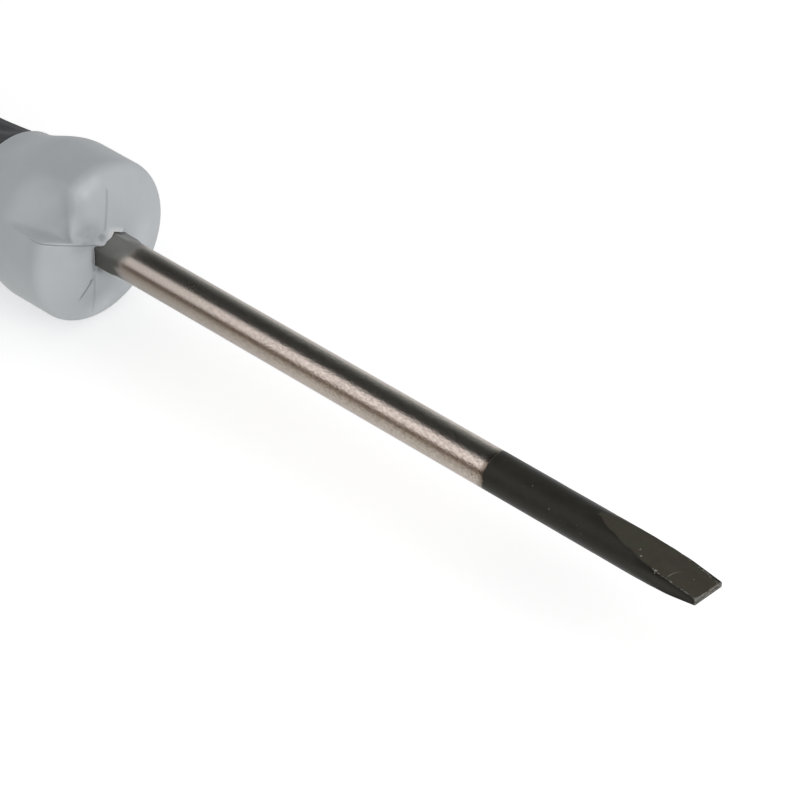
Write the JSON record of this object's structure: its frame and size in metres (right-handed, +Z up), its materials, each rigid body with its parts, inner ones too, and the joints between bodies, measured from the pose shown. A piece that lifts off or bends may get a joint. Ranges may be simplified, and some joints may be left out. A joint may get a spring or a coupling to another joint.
{
  "type": "precision screwdriver",
  "caption": "Slotted precision screwdriver: plated blade with a black ground tip, grey handle with soft grips, and a free-spinning ball-bearing cap.",
  "frame": {"origin": "on the table under the middle of the tool, which lies on a flat of its main grip", "axes": "+X along the blade towards the tip, +Z up, with the flats of the tip level"},
  "size_m": [0.172, 0.0194, 0.0176],
  "materials": {
    "blade_steel": "bright plated shaft with a black finish on the ground tip",
    "core_plastic": "fine satin moulding",
    "grip_rubber": "soft matt",
    "ring_plastic": "smooth moulding",
    "bearing_steel": "ground",
    "insert_brass": "turned",
    "cage_plastic": "natural moulding"
  },
  "bodies": {
    "handle": {"blade": "blade_steel", "handle_core": "core_plastic", "front_grip": "grip_rubber", "main_grip": "grip_rubber", "marker_ring": "ring_plastic", "threaded_insert": "insert_brass", "pivot_screw": "bearing_steel", "spacer_washer": "bearing_steel", "inner_race": "bearing_steel"},
    "cap": {"cap_shell": "core_plastic", "cap_pad": "grip_rubber", "outer_race": "bearing_steel", "lower_shield": "bearing_steel", "upper_shield": "bearing_steel", "retaining_ring": "bearing_steel"},
    "ball_train": {"ball_cage": "cage_plastic", "ball_1": "bearing_steel", "ball_2": "bearing_steel", "ball_3": "bearing_steel", "ball_4": "bearing_steel", "ball_5": "bearing_steel", "ball_6": "bearing_steel", "ball_7": "bearing_steel"}
  },
  "joints": [
    {"name": "cap_spin", "type": "hinge", "parent": "handle", "child": "cap", "pos_m": [-0.07885, 0, 0.00879], "axis": [1, 0, 0], "continuous": true},
    {"name": "cage_spin", "type": "hinge", "parent": "handle", "child": "ball_train", "pos_m": [-0.07885, 0, 0.00879], "axis": [1, 0, 0], "continuous": true}
  ],
  "couplings": [
    {"joint": "cage_spin", "follows": "cap_spin", "ratio": 0.633}
  ]
}
